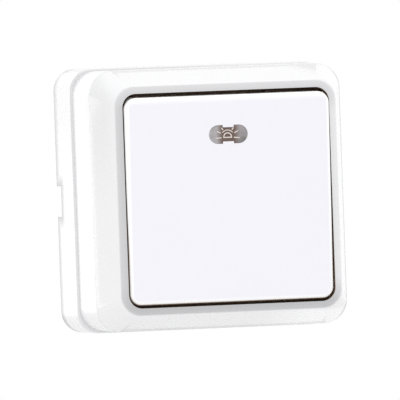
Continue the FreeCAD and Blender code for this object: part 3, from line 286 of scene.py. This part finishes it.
def white_moulding(name, white, colour_at, smooth):
    """Glossy white plastic with a faint cloudiness and a soft orange-peel skin."""
    material, tree, shader = new_material(name)
    place = object_position(tree)
    cloud = noise(tree, place, scale=60.0)
    tinted = blend_colours(tree, cloud, white, tuple(CLOUD_SHADE * part for part in white))
    set_colour(tree, shader, colour_at(tree, place, tinted))
    fine = noise(tree, place, scale=900.0, detail=2.0)
    vary_roughness(tree, shader, fine, smooth, smooth + ROUGHNESS_SPREAD)
    set_shader(shader, IOR=1.5, Specular_IOR_Level=0.5)
    peel = noise(tree, place, scale=260.0, detail=2.0)
    add_bump(tree, shader, peel, distance=0.006 * MM, strength=0.05)
    return material


def paint_seam_shade(tree, aside, depth, colour):
    """Paints shade on both sides of the seam between base and cover, more on the left."""
    away = calc(tree, "ABSOLUTE", calc(tree, "SUBTRACT", depth, SEAM_DEPTH))
    near = span(tree, away, SEAM_REACH, 0.0)
    left = span(tree, aside, *SEAM_ASIDE, *SEAM_STRENGTH)
    shade = calc(tree, "MULTIPLY", calc(tree, "POWER", near, SEAM_FALL), left)
    return blend_colours(tree, shade, colour, SEAM_PAINTED_SHADE)


def paint_top_left_shade(tree, aside, up, colour, grey):
    """Paints shade on the left wall and the left bevel, more towards the top."""
    upper = span(tree, up, *TOP_RISE)
    left = span(tree, aside, *LEFT_WALL)
    return blend_colours(tree, calc(tree, "MULTIPLY", upper, left), colour, grey)


def colour_base(tree, place, white):
    """White, with painted shade along the wall and round the notch, and a little painted shade at the
    seam and upper left.
    """
    aside, depth, up = split_place(tree, place)
    above = calc(tree, "MAXIMUM", calc(tree, "SUBTRACT", calc(tree, "ABSOLUTE", up), NOTCH_REACH), 0.0)
    before = calc(tree, "MAXIMUM", calc(tree, "SUBTRACT", depth, NOTCH_DEEP), 0.0)
    from_edge = calc(tree, "MINIMUM", depth, length(tree, above, before))
    near = span(tree, from_edge, *REAR_RIM)
    past = past_outline(tree, aside, up, BASE_HALF, BASE_HALF, BASE_CORNER)
    outside = span(tree, past, *REAR_RIM_OUTSIDE)
    left = span(tree, aside, *REAR_RIM_ASIDE, *REAR_RIM_STRENGTH)
    rim_shade = calc(tree, "MULTIPLY", calc(tree, "MULTIPLY", near, outside), left)
    seam_shaded = paint_seam_shade(tree, aside, depth, white)
    shaded = paint_top_left_shade(tree, aside, up, seam_shaded, BASE_TOP_LEFT_SHADE)
    return blend_colours(tree, rim_shade, shaded, OUTLINE_PAINTED_SHADE)


def on_ring(tree, past, depth):
    """One on the ring round the opening and none elsewhere."""
    band = between(tree, past, -RING_LIP, RING_WIDTH, RING_SOFT)
    front = span(tree, depth, RING_CREST, RING_CREST + CREST_SOFT)
    return calc(tree, "MULTIPLY", band, front)


def painted_ring_shade(tree, past, aside, up):
    """Painted shade on the ring: grey, darkest below, palest at the right, and paler towards its outside.
    """
    outward = span(tree, past, 0.0, RING_WIDTH, -RING_RISE, RING_RISE)
    across = span(tree, aside, -RING_OUTSIDE, RING_OUTSIDE, *RING_SIDES)
    upward = span(tree, up, -RING_OUTSIDE, RING_OUTSIDE, *RING_ENDS)
    sides = blend_colours(tree, calc(tree, "ADD", across, outward), RING_SHADE_DARK, RING_SHADE_PALE)
    ends = blend_colours(tree, calc(tree, "ADD", upward, outward), RING_SHADE_DARK, RING_SHADE_PALE)
    at_end = span(tree, calc(tree, "ABSOLUTE", up), *RING_TURN)
    return blend_colours(tree, at_end, sides, ends)


def on_lower_right(tree, aside, up):
    """One on the right part of the lower bevel, where light is painted, and none elsewhere."""
    lower = span(tree, up, *LOWER_BEVEL)
    return calc(tree, "MULTIPLY", lower, span(tree, aside, *LOWER_ASIDE))


def on_right_foot(tree, aside, depth):
    """Nearly one along the foot of the right bevel, where shade is painted, and none elsewhere."""
    foot = between(tree, depth, *FOOT_BAND, FOOT_SOFT)
    return calc(tree, "MULTIPLY", foot, span(tree, aside, *FOOT_ASIDE, *FOOT_STRENGTH))


def in_opening(tree, past, depth):
    """One on the cover's walls inside the opening, where dark brown shade is painted, and none elsewhere.
    """
    inner = span(tree, past, *GAP_EDGE)
    return calc(tree, "MULTIPLY", inner, span(tree, depth, *GAP_DEPTH))


def colour_cover(tree, place, white):
    """White, with painted shade on the ring, the walls and the right foot, painted light on the lower
    right bevel and painted dark brown shade inside the opening.
    """
    aside, depth, up = split_place(tree, place)
    past = past_outline(tree, aside, up, RING_INSIDE, RING_INSIDE, OPENING_CORNER)
    ring_shaded = blend_colours(tree, on_ring(tree, past, depth), white, painted_ring_shade(tree, past, aside, up))
    painted_lit = blend_colours(tree, on_lower_right(tree, aside, up), ring_shaded, LOWER_RIGHT_PAINTED_LIGHT)
    seam_shaded = paint_seam_shade(tree, aside, depth, painted_lit)
    shaded = paint_top_left_shade(tree, aside, up, seam_shaded, COVER_TOP_LEFT_SHADE)
    foot_shaded = blend_colours(tree, on_right_foot(tree, aside, depth), shaded, OUTLINE_PAINTED_SHADE)
    return blend_colours(tree, in_opening(tree, past, depth), foot_shaded, GAP_PAINTED_SHADE)


def colour_rocker(tree, place, white):
    """White, with a painted highlight on the rounded edges and painted shade on the skirt where it passes
    the ring.
    """
    aside, depth, up = split_place(tree, place)
    past = past_outline(tree, aside, up, ROCKER_ASIDE, ROCKER_UP, ROCKER_CORNER)
    edge = span(tree, past, *ROCKER_EDGE)
    top = span(tree, up, *ROCKER_TOP)
    highlighted = blend_colours(tree, calc(tree, "MAXIMUM", edge, top), white, EDGE_PAINTED_HIGHLIGHT)
    skirt = span(tree, past, *SKIRT_FACE)
    passing = between(tree, depth, *SKIRT_SHADE_BAND, SKIRT_SHADE_SOFT)
    return blend_colours(tree, calc(tree, "MULTIPLY", skirt, passing), highlighted, SKIRT_PAINTED_SHADE)


# brown and cream mouldings


RESIN_DARK = (0.18, 0.10, 0.055)
RESIN_LIGHT = (0.29, 0.17, 0.10)
FILLER_BROWN = (0.26, 0.18, 0.12)
FLECK_SPAN = (0.66, 0.74)
CREAM_DARK = (0.62, 0.60, 0.54)
CREAM_LIGHT = (0.70, 0.68, 0.62)


def brown_moulding():
    """Dark brown phenolic moulding with flecks of its filler."""
    material, tree, shader = new_material("brown_phenolic")
    place = object_position(tree)
    cloud = noise(tree, place, scale=220.0, detail=5.0, roughness=0.6)
    resin = blend_colours(tree, cloud, RESIN_DARK, RESIN_LIGHT)
    fleck = span(tree, noise(tree, place, scale=2600.0, detail=2.0), *FLECK_SPAN)
    set_colour(tree, shader, blend_colours(tree, fleck, resin, FILLER_BROWN))
    vary_roughness(tree, shader, cloud, smooth=0.36, rough=0.52)
    add_bump(tree, shader, noise(tree, place, scale=1500.0), distance=0.02 * MM, strength=0.35)
    return material


def cradle_plastic():
    """Off-white matt moulding with a fine grain."""
    material, tree, shader = new_material("off_white_moulding")
    place = object_position(tree)
    cloud = noise(tree, place, scale=150.0)
    set_colour(tree, shader, blend_colours(tree, cloud, CREAM_DARK, CREAM_LIGHT))
    vary_roughness(tree, shader, cloud, smooth=0.42, rough=0.55)
    add_bump(tree, shader, noise(tree, place, scale=1800.0), distance=0.01 * MM, strength=0.3)
    return material


# metals; the grain is in marks per metre along the three axes


METALS = {
    "stamped_brass": {
        "dark": (0.55, 0.36, 0.13),
        "light": (0.74, 0.53, 0.24),
        "smooth": 0.24,
        "rough": 0.42,
        "grain": (90.0, 1400.0, 1400.0),
    },
    "ground_steel": {
        "dark": (0.42, 0.42, 0.43),
        "light": (0.60, 0.60, 0.61),
        "smooth": 0.2,
        "rough": 0.36,
        "grain": (80.0, 2500.0, 2500.0),
    },
    "zinc_plate": {
        "dark": (0.55, 0.56, 0.52),
        "light": (0.72, 0.72, 0.66),
        "smooth": 0.26,
        "rough": 0.44,
        "grain": (1800.0, 250.0, 1800.0),
    },
    "spring_wire": {
        "dark": (0.34, 0.34, 0.36),
        "light": (0.52, 0.52, 0.54),
        "smooth": 0.2,
        "rough": 0.34,
        "grain": (1500.0, 1500.0, 1500.0),
    },
    "contact_silver": {
        "dark": (0.70, 0.69, 0.67),
        "light": (0.86, 0.85, 0.83),
        "smooth": 0.18,
        "rough": 0.34,
        "grain": (900.0, 900.0, 900.0),
    },
    "tinned_wire": {
        "dark": (0.55, 0.55, 0.56),
        "light": (0.74, 0.74, 0.75),
        "smooth": 0.22,
        "rough": 0.4,
        "grain": (1200.0, 1200.0, 1200.0),
    },
}


def metal(name):
    """Bare or plated metal, marked along one axis where its grain is stretched."""
    values = METALS[name]
    material, tree, shader = new_material(name)
    place = object_position(tree)
    marks = noise(tree, stretched(tree, place, values["grain"]), scale=1.0, detail=4.0, roughness=0.6)
    set_colour(tree, shader, blend_colours(tree, marks, values["dark"], values["light"]))
    vary_roughness(tree, shader, marks, values["smooth"], values["rough"])
    set_shader(shader, Metallic=1.0)
    add_bump(tree, shader, marks, distance=0.01 * MM, strength=0.3)
    return material


# window and lamp


# The lens turns from the lamp's brown into grey over the lamp's reach, from the left grey into the right
# one over its aside span, and at the right from the lower grey into the upper one.
LAMP_DARK = (0.11, 0.068, 0.05)
LAMP_LIGHT = (0.20, 0.135, 0.11)
LAMP_REACH = (1.6 * MM, 3.0 * MM)
LENS_LEFT = (0.54, 0.51, 0.53)
LENS_LOWER_RIGHT = (0.20, 0.185, 0.18)
LENS_UPPER_RIGHT = (0.38, 0.34, 0.355)
LENS_STREAK = (0.37, 0.35, 0.36)
LENS_STREAK_SPAN = (0.35, 0.65)
LENS_ASIDE = (-4.0 * MM, 4.0 * MM)
LENS_UP = (WINDOW_UP - 1.6 * MM, WINDOW_UP + 1.6 * MM)
SIGN_DARK = (0.56, 0.49, 0.46)
SIGN_LIGHT = (0.78, 0.72, 0.69)
GLASS_DARK = (0.92, 0.90, 0.88)
GLASS_LIGHT = (0.97, 0.96, 0.95)
GLASS_GRAIN = (60.0, 900.0, 900.0)
LACQUER_DARK = (0.60, 0.43, 0.24)
LACQUER_LIGHT = (0.68, 0.50, 0.30)
BAND_HALF = 0.25 * MM
BAND_SOFT = 0.04 * MM

# middle of each colour band of the resistor, and its paint
RESISTOR_BANDS = (
    (-2.3 * MM, (0.25, 0.07, 0.02)),
    (-1.1 * MM, (0.02, 0.02, 0.02)),
    (0.1 * MM, (0.75, 0.55, 0.03)),
    (1.9 * MM, (0.55, 0.38, 0.10)),
)


def clear_lens():
    """Smoky plastic of the window: brown over the lamp, grey to both ends, darkest at the lower right."""
    material, tree, shader = new_material("smoky_lens")
    place = object_position(tree)
    aside, _, up = split_place(tree, place)
    cloud = noise(tree, place, scale=420.0, detail=3.0, roughness=0.6)
    middle = blend_colours(tree, cloud, LAMP_DARK, LAMP_LIGHT)
    right = blend_colours(tree, span(tree, up, *LENS_UP), LENS_LOWER_RIGHT, LENS_UPPER_RIGHT)
    ends = blend_colours(tree, span(tree, aside, *LENS_ASIDE), LENS_LEFT, right)
    streaked = blend_colours(tree, span(tree, cloud, *LENS_STREAK_SPAN), ends, LENS_STREAK)
    from_lamp = span(tree, calc(tree, "ABSOLUTE", aside), *LAMP_REACH)
    set_colour(tree, shader, blend_colours(tree, from_lamp, middle, streaked))
    vary_roughness(tree, shader, cloud, smooth=0.12, rough=0.24)
    set_shader(shader, Transmission_Weight=0.15, IOR=1.49)
    ripple = noise(tree, place, scale=700.0, detail=2.0)
    add_bump(tree, shader, ripple, distance=0.02 * MM, strength=0.3)
    return material


def sign_relief():
    """Pale moulded lines of the lamp sign, a little worn."""
    material, tree, shader = new_material("sign_relief")
    worn = noise(tree, object_position(tree), scale=1600.0, detail=3.0, roughness=0.6)
    set_colour(tree, shader, blend_colours(tree, worn, SIGN_DARK, SIGN_LIGHT))
    vary_roughness(tree, shader, worn, smooth=0.2, rough=0.35)
    return material


def lamp_glass():
    """Thin clear glass with faint draw marks along the lamp."""
    material, tree, shader = new_material("lamp_glass")
    draw = noise(tree, stretched(tree, object_position(tree), GLASS_GRAIN), scale=1.0)
    set_colour(tree, shader, blend_colours(tree, draw, GLASS_DARK, GLASS_LIGHT))
    vary_roughness(tree, shader, draw, smooth=0.02, rough=0.07)
    set_shader(shader, Transmission_Weight=0.95, IOR=1.47)
    return material


def resistor_body():
    """Lacquered resistor with four colour bands around it."""
    material, tree, shader = new_material("resistor_lacquer")
    place = object_position(tree)
    aside, _, _ = split_place(tree, place)
    mottle = noise(tree, place, scale=700.0)
    colour = blend_colours(tree, mottle, LACQUER_DARK, LACQUER_LIGHT)
    for middle, paint in RESISTOR_BANDS:
        band = between(tree, aside, middle - BAND_HALF, middle + BAND_HALF, BAND_SOFT)
        colour = blend_colours(tree, band, colour, paint)
    set_colour(tree, shader, colour)
    vary_roughness(tree, shader, mottle, smooth=0.22, rough=0.35)
    return material


# dressing of the frame's own nodes


WELD_REACH = 0.001 * MM
CRISP_ANGLE = math.radians(32.0)


def make_finishes():
    """Every finish, with the names of the nodes that take it."""
    return {
        white_moulding("base_white", BASE_WHITE, colour_base, smooth=0.26): ("base_box",),
        white_moulding("cover_white", COVER_WHITE, colour_cover, smooth=0.24): ("cover_frame",),
        white_moulding("rocker_white", ROCKER_WHITE, colour_rocker, smooth=0.22): ("rocker_cap",),
        clear_lens(): ("indicator_lens",),
        cradle_plastic(): ("rocker_cradle", "lamp_holder"),
        brown_moulding(): ("mechanism_body", "terminal_base"),
        metal("ground_steel"): ("pivot_pin",),
        metal("spring_wire"): ("plunger_spring",),
        metal("zinc_plate"): ("mechanism_screws", "terminal_screws", "common_clamp", "switched_clamp"),
        metal("stamped_brass"): ("plunger", "contact_bar", "common_terminal", "switched_terminal"),
        metal("contact_silver"): ("moving_contact", "fixed_contact"),
        lamp_glass(): ("neon_lamp",),
        metal("tinned_wire"): ("upper_lamp_lead", "lower_lamp_lead", "resistor_lead"),
        resistor_body(): ("lamp_resistor",),
    }


def finish_node(name, material):
    """Gives a node its material and smooth rounds with crisp edges."""
    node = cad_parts[name]
    node.data.materials.clear()
    node.data.materials.append(material)
    node.data.polygons.foreach_set("use_smooth", [True] * len(node.data.polygons))
    weld = node.modifiers.new("weld", "WELD")
    weld.merge_threshold = WELD_REACH
    split = node.modifiers.new("crisp_edges", "EDGE_SPLIT")
    split.split_angle = CRISP_ANGLE
    weighted = node.modifiers.new("flat_faces_stay_flat", "WEIGHTED_NORMAL")
    weighted.keep_sharp = True


def finish_nodes():
    """Finishes every node of the frame."""
    for material, names in make_finishes().items():
        for name in names:
            finish_node(name, material)


# sign on the lens


SIGN_HEIGHT = 0.14 * MM
SIGN_SINK = 0.02 * MM
SIGN_ASIDE = -0.22 * MM
SIGN_UP = -0.62 * MM
SIGN_LINE = 0.28 * MM
DOME_RADIUS = 1.12 * MM
DOME_STEPS = 16
ARC_INSIDE = 1.56 * MM
ARC_OUTSIDE = 1.78 * MM
ARC_START = math.radians(40.0)
ARC_SWEEP = math.radians(100.0)
ARC_STEPS = 12
RAY_WIDTH = 0.26 * MM

# each ray's angle above level in degrees, and how many millimetres from the middle it starts and ends
RAYS = (
    (-6.0, 1.6, 3.1),
    (28.0, 1.95, 3.0),
    (56.0, 2.05, 2.7),
)


def add_bar(mesh, start, end, width):
    """Adds a straight bar of the sign between two points of the lens."""
    start = Vector(start)
    end = Vector(end)
    run = end - start
    middle = (start + end) / 2
    turn = Matrix.Rotation(math.atan2(run.y, run.x), 4, "Z")
    grow = Matrix.Diagonal((run.length, width, SIGN_HEIGHT, 1.0))
    place = Matrix.Translation((middle.x, middle.y, SIGN_HEIGHT / 2))
    bmesh.ops.create_cube(mesh, size=1.0, matrix=place @ turn @ grow)


def add_arc(mesh, inner, outer, start, sweep, steps):
    """Adds an arc of the sign around its centre, between two radii."""
    turn = Matrix.Rotation(start, 4, "Z") @ Matrix.Rotation(math.pi / 2, 4, "X")
    grow = Matrix.Diagonal((outer - inner, SIGN_HEIGHT, 1.0, 1.0))
    place = Matrix.Translation(((inner + outer) / 2, SIGN_HEIGHT / 2, 0.0))
    made = bmesh.ops.create_grid(mesh, x_segments=1, y_segments=1, size=0.5, matrix=turn @ place @ grow)
    geometry = set(made["verts"])
    for corner in made["verts"]:
        geometry.update(corner.link_edges)
        geometry.update(corner.link_faces)
    bmesh.ops.spin(
        mesh, geom=list(geometry), cent=(0.0, 0.0, 0.0), axis=(0.0, 0.0, 1.0), angle=sweep, steps=steps
    )


def add_rays(mesh):
    """Adds the sign's rays, the same to both sides."""
    for angle, near, far in RAYS:
        for turned in (math.radians(angle), math.radians(180.0 - angle)):
            ray = Vector((math.cos(turned), math.sin(turned)))
            add_bar(mesh, ray * near * MM, ray * far * MM, RAY_WIDTH)


def place_on_lens(mesh):
    """Stands the flat sign up on the lens of the tilted rocker."""
    upright = Matrix.Rotation(math.pi / 2, 4, "X")
    on_lens = Matrix.Translation((SIGN_ASIDE, -WINDOW_FRONT + SIGN_SINK, WINDOW_UP + SIGN_UP))
    tilted = Matrix.Translation((0.0, -PIVOT_DEPTH, 0.0)) @ Matrix.Rotation(ROCKER_TILT, 4, "X")
    bmesh.ops.transform(mesh, matrix=tilted @ on_lens @ upright, verts=mesh.verts)


def make_lamp_sign():
    """Lamp sign in relief on the lens: a dome on a bar, an arc over it and three rays to each side."""
    mesh = bmesh.new()
    add_arc(mesh, DOME_RADIUS - SIGN_LINE, DOME_RADIUS, 0.0, math.pi, DOME_STEPS)
    add_bar(mesh, (-DOME_RADIUS, -SIGN_LINE / 2), (DOME_RADIUS, -SIGN_LINE / 2), SIGN_LINE)
    add_arc(mesh, ARC_INSIDE, ARC_OUTSIDE, ARC_START, ARC_SWEEP, ARC_STEPS)
    add_rays(mesh)
    bmesh.ops.recalc_face_normals(mesh, faces=mesh.faces)
    place_on_lens(mesh)
    sign = add_piece("lamp_sign", mesh, sign_relief())
    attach(sign, "rocker")


def add_piece(name, mesh, material):
    """Makes an object from a modelled mesh and gives it its material."""
    data = bpy.data.meshes.new(name)
    mesh.to_mesh(data)
    mesh.free()
    data.materials.append(material)
    piece = bpy.data.objects.new(name, data)
    bpy.context.scene.collection.objects.link(piece)
    return piece


# studio


FLOOR_DARK = (0.80, 0.80, 0.80)
FLOOR_LIGHT = (0.83, 0.83, 0.83)
FLOOR_HALF = 0.75
FLOOR_UP = -0.11
LIGHT_AIM = (0.0, -0.02, 0.0)

# each light's place, the side of its square and its power in watts
LIGHTS = {
    "rear_left": ((-0.32, 0.85, 0.1), 0.8, 1.9),
    "rear_right": ((0.7, 0.5, 0.2), 0.8, 0.6),
    "above": ((0.1, -0.15, 0.9), 0.8, 1.4),
    "front": ((-0.4, -1.44, 0.03), 0.3, 2.4),
}


def make_floor():
    """A plain pale floor below the switch."""
    material, tree, shader = new_material("pale_floor")
    cloud = noise(tree, object_position(tree), scale=4.0)
    set_colour(tree, shader, blend_colours(tree, cloud, FLOOR_DARK, FLOOR_LIGHT))
    set_shader(shader, Roughness=0.8)
    mesh = bmesh.new()
    lowered = Matrix.Translation((0.0, 0.0, FLOOR_UP))
    bmesh.ops.create_grid(mesh, x_segments=1, y_segments=1, size=FLOOR_HALF, matrix=lowered)
    add_piece("studio_floor", mesh, material)


def add_light(name, place, side, power):
    """A soft square light at a place, turned towards the switch."""
    data = bpy.data.lights.new(name, "AREA")
    data.shape = "RECTANGLE"
    data.size = side
    data.size_y = side
    data.energy = power
    light = bpy.data.objects.new(name, data)
    light.location = place
    light.rotation_mode = "QUATERNION"
    light.rotation_quaternion = (Vector(LIGHT_AIM) - Vector(place)).to_track_quat("-Z", "Y")
    bpy.context.scene.collection.objects.link(light)


def light_studio():
    """Even white surroundings, with soft lights behind to both sides, above and in front."""
    world = bpy.data.worlds.new("studio")
    world.use_nodes = True
    background = world.node_tree.nodes["Background"]
    background.inputs["Color"].default_value = (1.0, 1.0, 1.0, 1.0)
    background.inputs["Strength"].default_value = 1.0
    bpy.context.scene.world = world
    bpy.context.scene.view_settings.view_transform = "Standard"
    for name, (place, side, power) in LIGHTS.items():
        add_light(name, place, side, power)


def place_camera():
    """A long lens at the photograph's angle and roll."""
    across = math.cos(VIEW_ELEVATION)
    back = Vector((
        math.sin(VIEW_AZIMUTH) * across,
        -math.cos(VIEW_AZIMUTH) * across,
        math.sin(VIEW_ELEVATION),
    ))
    aside = Vector((math.cos(VIEW_AZIMUTH), math.sin(VIEW_AZIMUTH), 0.0))
    up = back.cross(aside)
    aim = Vector((0.0, -AIM_DEPTH, 0.0)) + aside * AIM_ASIDE + up * AIM_UP
    distance = PICTURE_WIDTH * LENS / SENSOR
    data = bpy.data.cameras.new("photo_camera")
    data.lens = LENS
    data.sensor_width = SENSOR
    data.clip_start = NEAREST_SEEN
    data.clip_end = 2 * distance
    camera = bpy.data.objects.new("photo_camera", data)
    camera.rotation_mode = "QUATERNION"
    level = (-back).to_track_quat("-Z", "Y")
    camera.rotation_quaternion = level @ Quaternion((0.0, 0.0, 1.0), -VIEW_ROLL)
    camera.location = aim + back * distance
    bpy.context.scene.collection.objects.link(camera)
    bpy.context.scene.camera = camera


finish_nodes()
make_lamp_sign()
make_floor()
light_studio()
place_camera()
